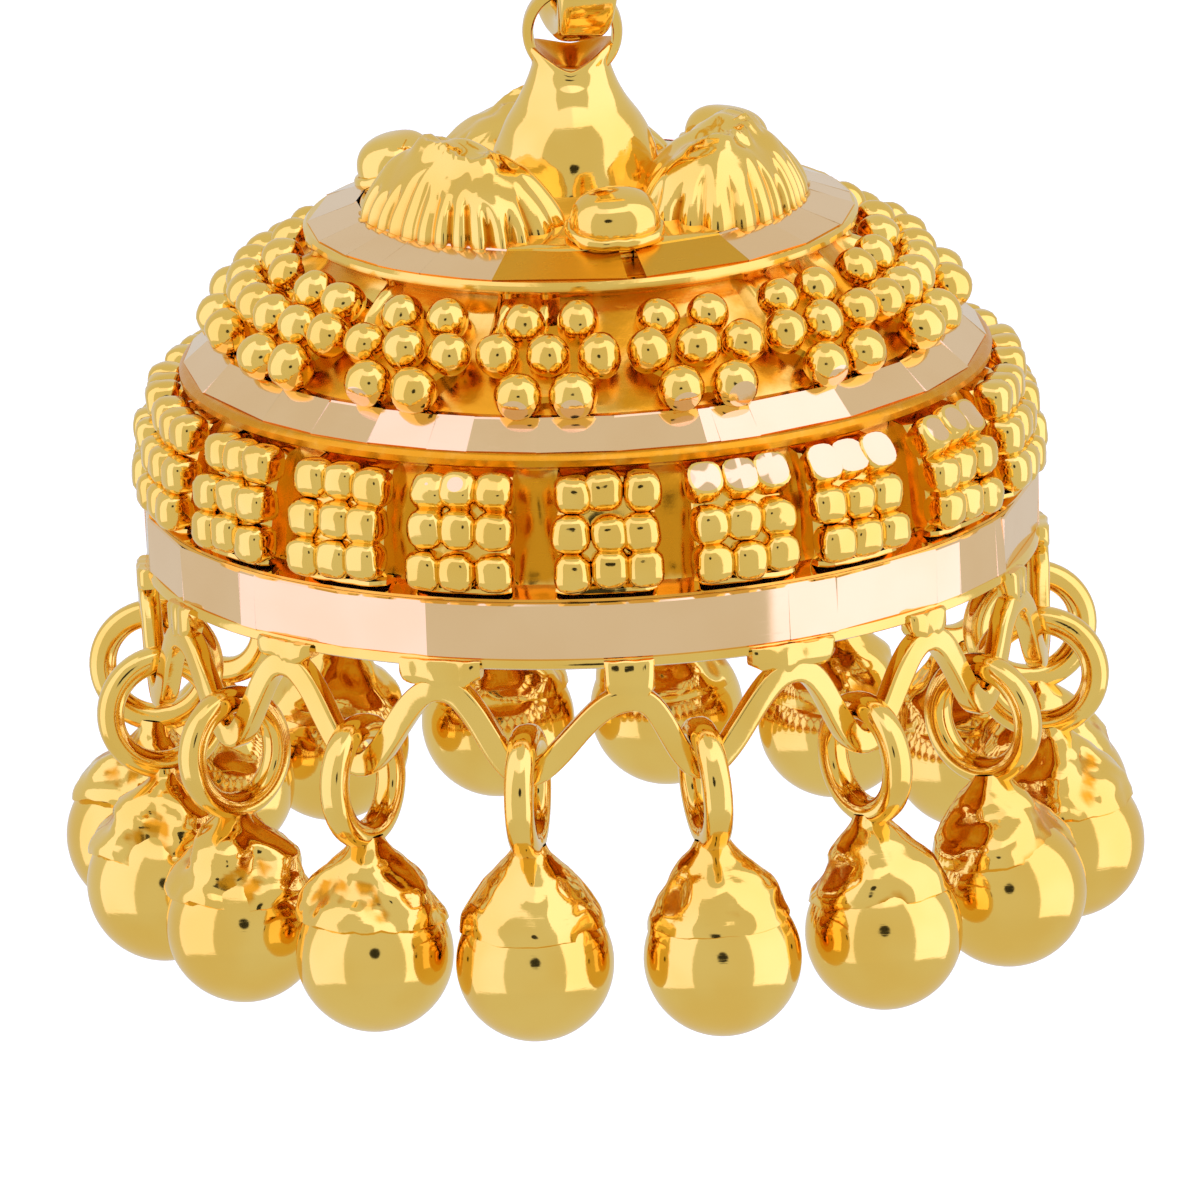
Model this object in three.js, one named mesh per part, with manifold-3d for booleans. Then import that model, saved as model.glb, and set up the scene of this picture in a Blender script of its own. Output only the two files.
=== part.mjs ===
// A jhumka earring: a round stud, a thick hanging link, and a gold bell with sixteen
// bead drops. Millimetres, +Z up. The origin is the middle of the stud button's back
// face, where it sits on the ear lobe. The button faces -Y and the post runs to +Y.
import * as THREE from 'three';
import { mergeVertices } from 'three/addons/utils/BufferGeometryUtils.js';
import Module from 'manifold-3d';

const wasm = await Module();
wasm.setup();

// Gaps between pieces
const hangGap = 0.3;          // between a ring and what hangs in it
const bandGap = 0.12;         // between a rose-gold band and the bell that it is pressed on

// Stud
const buttonRadius = 3.2;
const buttonThickness = 1.2;
const postRadius = 0.45;
const postLength = 11;
const studEyeHole = 0.95;     // radius of the hole in the stud's lower eye
const studEyeWire = 0.45;
const studEyeDepth = 0.7;

// Hanging link: a thick ring that stands nearly edge on to the front
const linkHole = 1.2;
const linkWire = 0.85;
const linkWidth = 1.3;
const linkTurn = 18;          // degrees that the ring is turned from edge on

// Bell wall: heights are above the lower edge of the wide band
const wallThickness = 0.5;
const skirtRadius = 10.48;
const wallSink = 0.1;         // how far the wall behind the blocks lies in from the skirt
const flangeWidth = 0.5;      // how far the flange stands out of the skirt
const flangeThickness = 0.25;
const wideBandHeight = 1.4;
const wideBandThickness = 0.4;
const middleBandFoot = 4.85;  // height of the middle band's lower edge
const middleBandInset = 0.63; // from the skirt in to that edge
const middleBandWidth = 1.0;
const middleBandSlope = 45;   // degrees from level
const topBandFoot = 8.28;
const topBandInset = 3.78;
const topBandWidth = 1.3;
const topBandSlope = 23;
const slopedBandThickness = 0.25;
const ledgeWidth = 0.3;       // the wall's ledge below each sloped band
const ledgeThickness = 0.18;

// Neck of the bell
const crownRise = 0.46;       // from the top band's upper edge up to the crown plate
const neckHeight = 3.65;      // from the crown plate to the middle of the eye's round hole
const throatDepth = 0.85;     // from there down to the point of the V below the hole
const neckEyeHole = 0.95;
const neckEyeWire = 0.28;
const neckEyeDepth = 0.8;
const neckRadius = 2.05;      // widest, at the foot
const neckWaist = 0.94;

// Crown petals and oval beads
const petalCount = 3;
const petalTurn = 70;         // degrees from the front to the first petal
const petalTuck = 0.15;       // how far a petal runs under the edge of the neck
const petalInset = 0.75;      // from the top band's foot in to a petal's rim
const petalSpread = 33;       // degrees each side of a petal's middle
const petalPeak = 2.25;       // height above the crown plate
const petalPoint = 1.3;       // over 1, a petal's top is pointed
const petalFlutes = 12;
const fluteDepth = 0.09;      // share of the petal's plan
const ovalRadius = 4.45;
const ovalLength = 2.2;
const ovalWidth = 1.75;
const ovalHeight = 1.4;

// Granule clusters, raised here to the outline that their granules fill
const rosetteCount = 14;
const rosetteTurn = -6.4;      // degrees from the front to the first rosette
const rosetteRadius = 1.72;   // from the middle granule to the outside of the other six
const rosetteWaist = 0.86;    // share of that radius between two outer granules
const rosetteRise = 0.5;      // how far a rosette stands out of its seat
const rosetteSeat = { inward: 0.38, upward: 0.47 };
const rosetteLean = 50;       // degrees that a rosette faces up from level
const blockCount = 19;
const blockTurn = 1.5;
const blockWidth = 2.64;
const blockRise = 0.7;        // how far a block stands out of the wall
const blockBulge = 0.3;       // how much further its middle stands out
const blockSlant = 0.62;      // how far its top edge lies in from its foot
const blockMargin = 0.12;     // from a block to the band or ledge next to it

// Wave strip and bead drops
const waveCount = 16;
const waveTurn = 1.85;        // degrees from the front to the first crest
const waveInset = 0.03;       // from the flange's edge in to the middle of the strip
const waveThickness = 0.5;
const waveWidth = 0.78;
const waveDrop = 2.25;        // from the crests' middle line to the troughs'
const crestSink = 0.1;        // how far a crest runs into the flange
const ringRadius = 1.32;      // middle line of a jump ring
const ringWire = 0.66;
const beadRadius = 1.92;
const beadDrop = 4.5;         // from the middle of a jump ring to the middle of its bead
const capTopRadius = 0.5;
const capFootRadius = 1.35;
const capSink = 0.1;          // how far the cap's foot runs into the bead

// How each bead drop hangs at rest, in degrees, round from the front: outwards from
// the bell, and aside towards the next drop
const sways = [
  { out: 5.3, aside: 2.5 },
  { out: 6.5, aside: 0.5 },
  { out: 7, aside: 1 },
  { out: 7, aside: -1 },
  { out: 5, aside: -2 },
  { out: 3, aside: -1 },
  { out: 4, aside: 1 },
  { out: 6, aside: 2 },
  { out: 2.5, aside: 0 },
  { out: 5, aside: 1 },
  { out: 4, aside: -1 },
  { out: 5.8, aside: 3.5 },
  { out: 2, aside: 2.5 },
  { out: 0.5, aside: 2.5 },
  { out: 1.5, aside: 3 },
  { out: 0.2, aside: 0.4 },
];

// Faces round each round piece
const buttonSides = 32;
const postSides = 12;
const eyeSides = 20;
const wallSides = 36;
const bandSides = 36;
const capSides = 10;
const beadSides = 12;
const ringSides = 12;
const wireSides = 6;
const waveSteps = 6;          // steps along one wave

const gold = { color: 0xd9a83c, roughness: 0.16, metalness: 1 };
const roseGold = { color: 0xdcae86, roughness: 0.1, metalness: 1 };

const degrees = Math.PI / 180;

// A closed solid from a three.js geometry, with its faces turned outwards
function solid(geometry) {
  const bare = geometry.clone();
  bare.deleteAttribute('normal');
  bare.deleteAttribute('uv');
  const merged = mergeVertices(bare, 1e-4);
  const corners = merged.index.array;
  const points = merged.attributes.position;
  const kept = [];
  let volume = 0;
  const a = new THREE.Vector3();
  const b = new THREE.Vector3();
  const c = new THREE.Vector3();
  for (let i = 0; i < corners.length; i += 3) {
    const [p, q, r] = corners.slice(i, i + 3);
    if (p === q || q === r || r === p) continue;
    kept.push(p, q, r);
    a.fromBufferAttribute(points, p);
    b.fromBufferAttribute(points, q);
    c.fromBufferAttribute(points, r);
    volume += a.dot(b.cross(c));
  }
  if (volume < 0) kept.reverse();
  return new wasm.Manifold(new wasm.Mesh({
    numProp: 3,
    vertProperties: new Float32Array(points.array),
    triVerts: new Uint32Array(kept),
  }));
}

function fuse(parts) {
  return parts.reduce((whole, part) => whole.add(part));
}

function meshOf(name, body, finish) {
  const { vertProperties, triVerts } = body.getMesh();
  const geometry = new THREE.BufferGeometry();
  geometry.setAttribute('position', new THREE.BufferAttribute(vertProperties, 3));
  geometry.setIndex(new THREE.BufferAttribute(triVerts, 1));
  geometry.computeVertexNormals();
  const mesh = new THREE.Mesh(geometry, new THREE.MeshStandardMaterial(finish));
  mesh.name = name;
  return mesh;
}

// A turned piece about Z, from rows of radius and height
function turned(rows, sides) {
  const profile = rows.map(([radius, height]) => new THREE.Vector2(radius, height));
  return new THREE.LatheGeometry(profile, sides).rotateX(Math.PI / 2);
}

// Moves a geometry built at the origin out to a radius and round by an angle from the front (-Y)
function placeRound(geometry, radius, height, angle) {
  return geometry.translate(0, -radius, height).rotateZ(angle);
}

// Moves every vertex of a geometry by a function of its x, y and z
function reshape(geometry, move) {
  const points = geometry.attributes.position;
  for (let i = 0; i < points.count; i += 1) {
    points.setXYZ(i, ...move(points.getX(i), points.getY(i), points.getZ(i)));
  }
  return geometry;
}

// A flat eye with a round hole along Y
function eyePlate(outerRadius, depth) {
  return new THREE.CylinderGeometry(outerRadius, outerRadius, depth, eyeSides);
}

// Radii and heights that follow from the named sizes
const flangeRadius = skirtRadius + flangeWidth;
const middleBandRadius = skirtRadius - middleBandInset;
const topBandRadius = skirtRadius - topBandInset;
const petalInnerRadius = neckRadius - petalTuck;
const petalOuterRadius = topBandRadius - petalInset;
const waveRadius = flangeRadius - waveInset;

// A sloped band's outer face runs from its foot up and in; the wall's seat runs under it
function slopedSeat(radius, foot, width, angle) {
  const [sine, cosine] = [Math.sin(angle * degrees), Math.cos(angle * degrees)];
  const inner = radius - width * cosine;
  const thick = slopedBandThickness;
  const under = (thick + bandGap) / sine;
  return {
    top: foot + width * sine,
    inner,
    section: [[radius - thick / sine, foot], [radius, foot],
      [inner, foot + width * sine], [inner, foot + width * sine - thick / cosine]],
    seat: [[radius - under + bandGap * cosine / sine, foot - bandGap],
      [inner - bandGap, foot + (radius - inner + bandGap - under) * sine / cosine]],
  };
}
const middle = slopedSeat(middleBandRadius, middleBandFoot, middleBandWidth, middleBandSlope);
const top = slopedSeat(topBandRadius, topBandFoot, topBandWidth, topBandSlope);

const crownHeight = top.top + crownRise;
const neckEyeHeight = crownHeight + neckHeight;
const throatHeight = neckEyeHeight - throatDepth;

// Stud
const hangPlane = -buttonThickness / 2;
const studEyeHeight = -(buttonRadius + studEyeHole);
const studLimbTop = studEyeHeight - studEyeHole;

function earStud() {
  const round = (radius, length, sides) => new THREE.CylinderGeometry(radius, radius, length, sides);
  const button = round(buttonRadius, buttonThickness, buttonSides).translate(0, hangPlane, 0);
  const post = round(postRadius, postLength - hangPlane, postSides)
    .translate(0, (postLength + hangPlane) / 2, 0);
  const eye = eyePlate(studEyeHole + studEyeWire, studEyeDepth)
    .translate(0, hangPlane, studEyeHeight);
  const hole = eyePlate(studEyeHole, 2 * buttonThickness).translate(0, hangPlane, studEyeHeight);
  return fuse([solid(button), solid(post), solid(eye)]).subtract(solid(hole));
}

// Hanging link, a ring in an upright plane
const linkTopInside = studLimbTop + hangGap;
const linkHeight = linkTopInside - linkHole;
const linkBottomInside = linkHeight - linkHole;

function hangingLink() {
  const middle = linkHole + linkWire / 2;
  const ring = new THREE.TorusGeometry(middle, linkWire / 2, 8, 18);
  ring.scale(1, 1, linkWidth / linkWire);
  ring.rotateY(Math.PI / 2).rotateZ(linkTurn * degrees).translate(0, hangPlane, linkHeight);
  return solid(ring);
}

// The bell hangs by its eye: its own heights start at the lower edge of the wide band
const bellHeight = linkBottomInside + hangGap - neckEyeHole - neckEyeHeight;

// The neck's flare, as shares of its foot radius and of the way from the crown to the V
const neckFlare = [[1, 0.14], [0.94, 0.3], [0.8, 0.52], [0.62, 0.71], [0.514, 0.89]];

function neck() {
  const rise = throatHeight - crownHeight;
  const foot = crownHeight - wallThickness * 0.8;
  const flare = neckFlare.map(([out, up]) => [neckRadius * out, crownHeight + rise * up]);
  const bell = turned([[0, foot], [neckRadius, foot], ...flare,
    [neckWaist, throatHeight], [neckWaist, neckEyeHeight], [0, neckEyeHeight]], eyeSides);
  const eye = eyePlate(neckEyeHole + neckEyeWire, neckEyeDepth).translate(0, 0, neckEyeHeight);
  const hole = eyePlate(neckEyeHole, 2 * neckRadius).translate(0, 0, neckEyeHeight);
  const throat = new THREE.Shape([
    new THREE.Vector2(-neckWaist * 0.72, neckEyeHeight - neckEyeHole * 0.6),
    new THREE.Vector2(0, throatHeight),
    new THREE.Vector2(neckWaist * 0.72, neckEyeHeight - neckEyeHole * 0.6),
  ]);
  const cut = new THREE.ExtrudeGeometry(throat, { depth: 2 * neckRadius, bevelEnabled: false })
    .rotateX(Math.PI / 2).translate(0, neckRadius, 0);
  return fuse([solid(bell), solid(eye)]).subtract(solid(hole)).subtract(solid(cut));
}

// Distance from a petal's middle to its edge: a fan between two radii and two spokes
const petalMiddle = (petalInnerRadius + petalOuterRadius) / 2;

function petalReach(out, side) {
  const toArc = (radius, far) => {
    const half = petalMiddle * out;
    const root = half * half - petalMiddle * petalMiddle + radius * radius;
    if (root < 0) return Infinity;
    const reach = -half + (far ? 1 : -1) * Math.sqrt(root);
    return reach > 0 ? reach : Infinity;
  };
  const spoke = petalSpread * degrees;
  const rate = Math.abs(side) * Math.cos(spoke) - out * Math.sin(spoke);
  const toSpoke = rate > 0 ? (petalMiddle * Math.sin(spoke)) / rate : Infinity;
  return Math.min(toArc(petalOuterRadius, true), toArc(petalInnerRadius, false), toSpoke);
}

function petal(angle) {
  const dome = new THREE.SphereGeometry(1, 2 * petalFlutes, 6).rotateX(Math.PI / 2);
  reshape(dome, (x, y, z) => {
    const spread = Math.hypot(x, y);
    const out = spread > 0 ? -y / spread : 1;
    const side = spread > 0 ? x / spread : 0;
    const turn = Math.atan2(side, out);
    const flute = 1 - fluteDepth * (1 - Math.cos(petalFlutes * turn)) * Math.min(1, spread) ** 2 / 2;
    const reach = spread * petalReach(out, side) * flute;
    const height = z > 0 ? z ** petalPoint * petalPeak : z * wallThickness * 0.5;
    return [side * reach, -(petalMiddle + out * reach), crownHeight - wallThickness * 0.4 + height];
  });
  return solid(dome.rotateZ(angle));
}

function ovalBead(angle) {
  const bead = new THREE.SphereGeometry(1, 12, 6).rotateX(Math.PI / 2)
    .scale(ovalLength / 2, ovalWidth / 2, ovalHeight / 2);
  return solid(placeRound(bead, ovalRadius, crownHeight + ovalHeight * 0.1, angle));
}

// The wall's ledge below a sloped band, from the wall out and up
function ledge(radius, foot) {
  const under = foot - bandGap - ledgeThickness;
  return [[radius - ledgeWidth, under], [radius, under], [radius, foot - bandGap]];
}

// Outer face of the bell wall, as radius and height, from the flange up to the middle band
const lowerWall = [
  [flangeRadius, -flangeThickness],
  [flangeRadius, -bandGap / 2],
  [skirtRadius, -bandGap / 2],
  [skirtRadius, wideBandHeight + bandGap],
  [skirtRadius - wallSink, (wideBandHeight + middleBandFoot) / 2],
  ...ledge(middleBandRadius, middleBandFoot),
  ...middle.seat,
];

// The wall behind the rosettes, as shares of the way from the middle band's top edge to
// the top band's foot
const rosetteWall = [
  { inward: 0.1, upward: 0 },
  { inward: 0.5, upward: 0.45 },
];
const upperFoot = [middle.inner, middle.top];
const upperRun = [upperFoot[0] - topBandRadius, topBandFoot - upperFoot[1]];

function onUpperWall({ inward, upward }) {
  return [upperFoot[0] - inward * upperRun[0], upperFoot[1] + upward * upperRun[1]];
}

function bellWall() {
  const behindRosettes = rosetteWall.map(onUpperWall);
  const outside = [
    ...lowerWall,
    ...behindRosettes,
    ...ledge(topBandRadius, topBandFoot),
    ...top.seat,
    [top.inner - bandGap, top.top],
    [neckRadius, crownHeight],
    [0, crownHeight],
  ];
  const inside = [
    [0, crownHeight - wallThickness],
    [top.inner - wallThickness, top.top - 2 * wallThickness],
    [topBandRadius - 2 * wallThickness, topBandFoot - 2 * wallThickness],
    [behindRosettes[1][0] - 0.7 * wallThickness, behindRosettes[1][1] - 0.7 * wallThickness],
    [middleBandRadius - 2.6 * wallThickness, middleBandFoot - wallThickness],
    [skirtRadius - wallThickness - wallSink, (wideBandHeight + middleBandFoot) / 2 - wallThickness],
    [skirtRadius - wallThickness, 0],
    [skirtRadius - wallThickness, -flangeThickness],
  ];
  return solid(turned([...outside, ...inside, outside[0]].reverse(), wallSides));
}

// A rosette: six granules round one, as a domed pad with a lobed edge
function rosette(angle) {
  const rows = [[0, -0.9], [0.96, -0.9], [1, 0.1], [0.8, 0.8], [0, 1]];
  const pad = turned(rows.map(([reach, rise]) => [reach * rosetteRadius, rise * rosetteRise]), 12);
  reshape(pad, (x, y, z) => {
    const lobe = (1 + Math.cos(6 * Math.atan2(y, x))) / 2;
    const reach = rosetteWaist + (1 - rosetteWaist) * lobe;
    return [x * reach, y * reach, z];
  });
  pad.rotateX((90 - rosetteLean) * degrees);
  return solid(placeRound(pad, ...onUpperWall(rosetteSeat), angle));
}

// A raised block of granules: its middle bulges and its face leans with the wall
const blockFoot = wideBandHeight + bandGap + blockMargin;
const blockTop = middleBandFoot - bandGap - ledgeThickness - blockMargin;

function block(angle) {
  const box = new THREE.BoxGeometry(1, 1, 1, 2, 1, 3);
  reshape(box, (x, y, z) => {
    const up = z + 0.5;
    const face = skirtRadius + blockRise + blockBulge * Math.sin(Math.PI * up) - blockSlant * up * up;
    const radius = y < 0 ? face : skirtRadius - wallThickness * (0.5 + 1.3 * up * up);
    const turn = x * blockWidth / skirtRadius;
    return [radius * Math.sin(turn), -radius * Math.cos(turn), blockFoot + up * (blockTop - blockFoot)];
  });
  return solid(box.rotateZ(angle));
}

// Wave strip: its middle line rises and falls, and its width is kept square to that line
const waveTopLine = -flangeThickness - waveWidth / 2 + crestSink;
const waveMiddle = waveTopLine - waveDrop / 2;

function waveStrip() {
  const half = waveThickness / 2;
  const strip = turned([[waveRadius - half, -0.5], [waveRadius + half, -0.5],
    [waveRadius + half, 0.5], [waveRadius - half, 0.5], [waveRadius - half, -0.5]],
  waveCount * waveSteps);
  const waves = waveCount / waveRadius;
  reshape(strip, (x, y, z) => {
    const turn = Math.atan2(x, -y) * waveCount;
    const rise = waveDrop / 2 * Math.cos(turn);
    const steep = waveDrop / 2 * waves * Math.sin(turn);
    return [x, y, waveMiddle + rise + z * waveWidth * Math.hypot(1, steep)];
  });
  return solid(strip.rotateZ(waveTurn * degrees));
}

function bell() {
  const around = (count, turn, make) => fuse(Array.from({ length: count },
    (_, i) => make((turn + i * 360 / count) * degrees)));
  return fuse([
    bellWall(),
    neck(),
    around(petalCount, petalTurn, petal),
    around(petalCount, petalTurn + 180 / petalCount, ovalBead),
    around(rosetteCount, rosetteTurn, rosette),
    around(blockCount, blockTurn, block),
    waveStrip(),
  ]).translate([0, hangPlane, bellHeight]);
}

// Rose-gold bands: closed rings with flat facets
function band(rows) {
  return solid(turned([...rows, rows[0]], bandSides)).translate([0, hangPlane, bellHeight]);
}

function wideBand() {
  const inner = skirtRadius + bandGap;
  return band([[inner, 0], [inner + wideBandThickness, 0],
    [inner + wideBandThickness, wideBandHeight], [inner, wideBandHeight]]);
}

// Bead drop: jump ring round a trough of the wave strip, soldered by a cap to its bead
const troughHeight = waveMiddle - waveDrop / 2;
const ringHeight = troughHeight + waveWidth / 2 + hangGap - (ringRadius - ringWire / 2);

function hangingBead(angle, sway) {
  const ring = new THREE.TorusGeometry(ringRadius, ringWire / 2, wireSides, ringSides)
    .rotateY(Math.PI / 2);
  const bead = new THREE.SphereGeometry(beadRadius, beadSides, 6).rotateX(Math.PI / 2)
    .translate(0, 0, -beadDrop);
  const capFoot = -beadDrop + Math.sqrt(beadRadius ** 2 - capFootRadius ** 2);
  const cap = turned([[0, capFoot - capSink], [capFootRadius, capFoot - capSink],
    [capTopRadius, -ringRadius], [0, -ringRadius]], capSides);
  return fuse([solid(ring), solid(bead), solid(cap)])
    .translate([0, 0, ringHeight - troughHeight])
    .rotate([-sway.out, -sway.aside, 0])
    .translate([0, -waveRadius, troughHeight])
    .rotate([0, 0, angle / degrees])
    .translate([0, hangPlane, bellHeight]);
}

const earring = new THREE.Group();
earring.add(meshOf('ear_stud', earStud(), gold));
earring.add(meshOf('hanging_link', hangingLink(), gold));
earring.add(meshOf('bell', bell(), gold));
earring.add(meshOf('band_wide', wideBand(), roseGold));
earring.add(meshOf('band_middle', band(middle.section), roseGold));
earring.add(meshOf('band_top', band(top.section), roseGold));
for (let i = 0; i < waveCount; i += 1) {
  const angle = (waveTurn + (i + 0.5) * 360 / waveCount) * degrees;
  const drop = hangingBead(angle, sways[i % sways.length]);
  earring.add(meshOf(`bead_drop_${String(i + 1).padStart(2, '0')}`, drop, gold));
}

export default earring;
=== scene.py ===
import math
import random

import bmesh
import bpy
import numpy as np
from mathutils import Matrix, Vector, noise


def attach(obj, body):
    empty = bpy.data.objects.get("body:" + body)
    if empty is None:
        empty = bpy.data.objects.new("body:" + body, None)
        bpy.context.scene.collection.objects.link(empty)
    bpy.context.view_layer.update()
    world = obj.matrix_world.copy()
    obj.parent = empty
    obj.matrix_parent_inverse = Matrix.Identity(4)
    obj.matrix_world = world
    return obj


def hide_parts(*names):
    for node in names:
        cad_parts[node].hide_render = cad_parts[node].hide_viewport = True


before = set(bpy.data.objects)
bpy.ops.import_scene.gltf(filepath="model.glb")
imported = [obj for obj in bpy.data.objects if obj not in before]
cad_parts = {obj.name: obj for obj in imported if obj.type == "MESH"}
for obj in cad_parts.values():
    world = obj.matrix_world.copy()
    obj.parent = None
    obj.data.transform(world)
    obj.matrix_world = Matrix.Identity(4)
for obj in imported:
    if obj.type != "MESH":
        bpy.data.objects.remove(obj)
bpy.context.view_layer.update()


# Ear stud: a plain polished button with a straight post for the lobe and a flat eye
# below it. Cast yellow gold, the post soldered to the back of the button.
# Sizes are in millimetres from the middle of the button's back face.
class Value:
    """A shader value: sums and products add Math nodes, node() adds any other node."""

    def __init__(self, tree, socket=None):
        self.tree = tree
        self.socket = socket

    def node(self, kind, settings, inputs, output=0):
        made = self.tree.nodes.new(kind)
        for setting, wanted in settings.items():
            setattr(made, setting, wanted)
        for name, wanted in inputs.items():
            if isinstance(wanted, Value):
                self.tree.links.new(wanted.socket, made.inputs[name])
            else:
                made.inputs[name].default_value = wanted
        return Value(self.tree, made.outputs[output])

    def maths(self, operation, first, second=0.0):
        return self.node("ShaderNodeMath", {"operation": operation}, {0: first, 1: second})

    def __add__(self, other):
        return self.maths("ADD", self, other)

    def __radd__(self, other):
        return self.maths("ADD", other, self)

    def __sub__(self, other):
        return self.maths("SUBTRACT", self, other)

    def __rsub__(self, other):
        return self.maths("SUBTRACT", other, self)

    def __mul__(self, other):
        return self.maths("MULTIPLY", self, other)

    def __rmul__(self, other):
        return self.maths("MULTIPLY", other, self)

    def step(self, low, high):
        """0 below low, 1 above high, and a soft rise between them"""
        return self.node("ShaderNodeMapRange", {"interpolation_type": "SMOOTHSTEP"},
                         {"Value": self, "From Min": low, "From Max": high})


def metal(name, light, deep, worn_and_shade, roughness, ripple_depth):
    """Polished precious metal: two tones in soft clouds, a rippled surface, hairline
    polishing marks, and in the hollows a deep reddish colour that is partly dull metal
    the buff doesn't reach and partly painted shade and painted reflection of the gold round about"""
    material = bpy.data.materials.new(name)
    material.use_nodes = True
    shader = material.node_tree.nodes["Principled BSDF"]
    shader.inputs["Metallic"].default_value = 1.0
    start = Value(material.node_tree)
    place = start.node("ShaderNodeTexCoord", {}, {}, "Object")

    def cloud(scale, detail, stretch=(1, 1, 1)):
        seen = place.node("ShaderNodeMapping", {}, {"Vector": place, "Scale": stretch})
        return start.node("ShaderNodeTexNoise", {}, {
            "Vector": seen, "Scale": scale, "Detail": detail})

    def mixed(share, first, second):
        return start.node("ShaderNodeMix", {"data_type": "RGBA"},
                          {0: share, 6: first, 7: second}, 2)

    # the mesh's per-point mark of hollows: painted shade and painted deep-orange reflection, mixed
    # with dull unpolished metal
    shade_and_wear = start.node("ShaderNodeAttribute", {"attribute_name": "shade_and_wear"}, {}, "Fac")
    dull_and_shade = (shade_and_wear * (0.6 + 0.8 * cloud(2500, 2))).step(0.15, 0.85)
    tone = mixed(cloud(420, 2).step(0.35, 0.65), light, deep)
    hair = cloud(1500, 3, (1, 1, 14)).step(0.55, 0.75)
    ripple = cloud(620, 1) + 0.12 * cloud(3800, 2) + 0.03 * hair + 0.35 * dull_and_shade * cloud(5200, 3)
    tree = material.node_tree
    tree.links.new(mixed(dull_and_shade, tone, worn_and_shade).socket, shader.inputs["Base Color"])
    rough = roughness + 0.06 * cloud(1900, 3) + 0.05 * hair + 0.16 * dull_and_shade
    tree.links.new(rough.socket, shader.inputs["Roughness"])
    bump = start.node("ShaderNodeBump", {}, {
        "Height": ripple, "Distance": ripple_depth, "Strength": 1.0}, "Normal")
    tree.links.new(bump.socket, shader.inputs["Normal"])
    return material


GOLD_LIGHT, GOLD_DEEP = (0.98, 0.68, 0.17, 1), (0.96, 0.625, 0.13, 1)
# deep reddish colour for the hollows: partly dull worn gold, partly painted shade and painted
# reflection
GOLD_WORN_AND_SHADE = (0.80, 0.34, 0.015, 1)
GOLD = metal("yellow_gold_polish", GOLD_LIGHT, GOLD_DEEP, GOLD_WORN_AND_SHADE, 0.05, 1.6e-5)

RIGHT, BACK, UP = np.eye(3)


def turned(rows, sides):
    """Rows of points round Z from a profile of radius and height; angle 0 is the front"""
    angles = np.arange(sides) * 2 * np.pi / sides
    return np.array([np.stack([r * np.sin(angles), -r * np.cos(angles), z + 0 * angles], 1)
                     for r, z in rows])


def curve(rows, steps):
    """A smooth line through rows of numbers, with a few steps between each two rows"""
    rows = np.array(rows, float)
    ends = np.vstack([2 * rows[0] - rows[1], rows, 2 * rows[-1] - rows[-2]])
    line = []
    for i in range(1, len(ends) - 2):
        a, b, c, d = ends[i - 1:i + 3]
        for t in np.arange(steps) / steps:
            line.append(0.5 * (2 * b + (c - a) * t + (2 * a - 5 * b + 4 * c - d) * t ** 2
                               + (3 * b - a - 3 * c + d) * t ** 3))
    return np.array(line + [rows[-1]])


def skin(rows, looped=False, capped=False):
    """Points and faces over rows of points; each row closes on itself"""
    rows = np.asarray(rows, float)
    n, m = rows.shape[:2]
    faces = [(i * m + j, i * m + (j + 1) % m, (i + 1) % n * m + (j + 1) % m, (i + 1) % n * m + j)
             for i in range(n if looped else n - 1) for j in range(m)]
    if capped:
        faces += [tuple(range(m)), tuple(range((n - 1) * m, n * m))]
    return rows.reshape(-1, 3), faces


def spokes(side, top, count):
    """Ways out from the middle of a ring: a full turn from top on towards side"""
    angles = np.arange(count)[:, None] * 2 * np.pi / count
    return np.sin(angles) * side + np.cos(angles) * top


def tube(centres, outs, up, section):
    """Rows of points that carry a flat section (out, up) along a line of centres"""
    return np.array([[c + s * o + t * up for s, t in section] for c, o in zip(centres, outs)])


def fuller(wave, power):
    """A sine or cosine with broader peaks, for a power under one; its sign is kept"""
    return np.sign(wave) * np.abs(wave) ** power


def pillow(width, height, count, power):
    """A section with full sides and soft corners, as points (out, up); 2 is an oval"""
    angles = np.arange(count) * 2 * np.pi / count
    return list(zip(width / 2 * fuller(np.cos(angles), 2 / power),
                    height / 2 * fuller(np.sin(angles), 2 / power)))


HANG_PLANE = -0.6     # Y of the plane in which the link and the bell hang
WELD = 2e-7           # metres; points nearer than this are joined


def piece(name, shells, finishes, body, nodes, lift, sharp=40):
    """One object from shells of points in millimetres. A shell may add a number for each
    point, how deep in painted shade and dull hollow metal it lies, and the finish number of each of
    its faces."""
    points, faces, shade_and_wear, finish = [], [], [], []
    for shell in shells:
        corners, sides, shade_and_wear_values, numbers = (*shell, None, None)[:4]
        start = sum(len(p) for p in points)
        points.append(corners)
        faces += [tuple(start + c for c in side) for side in sides]
        shade_and_wear += [0] * len(corners) if shade_and_wear_values is None else list(shade_and_wear_values)
        finish += [0] * len(sides) if numbers is None else list(numbers)
    made = (np.vstack(points) + [0, HANG_PLANE, lift]) / 1000
    mesh = bpy.data.meshes.new(name)
    mesh.from_pydata(made.tolist(), [], faces)
    mesh.polygons.foreach_set("material_index", finish)
    # the per-point mark of painted shade and dull hollow metal that the materials read
    mark = mesh.attributes.new("shade_and_wear", "FLOAT", "POINT")
    mark.data.foreach_set("value", np.array(shade_and_wear, np.float32))
    work = bmesh.new()
    work.from_mesh(mesh)
    bmesh.ops.remove_doubles(work, verts=work.verts, dist=WELD)
    bmesh.ops.recalc_face_normals(work, faces=work.faces)
    work.to_mesh(mesh)
    work.free()
    mesh.polygons.foreach_set("use_smooth", [True] * len(mesh.polygons))
    mesh.set_sharp_from_angle(angle=math.radians(sharp))
    for each in finishes:
        mesh.materials.append(each)
    thing = bpy.data.objects.new(name, mesh)
    bpy.context.scene.collection.objects.link(thing)
    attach(thing, body)
    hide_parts(*nodes)
    return thing


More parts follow.
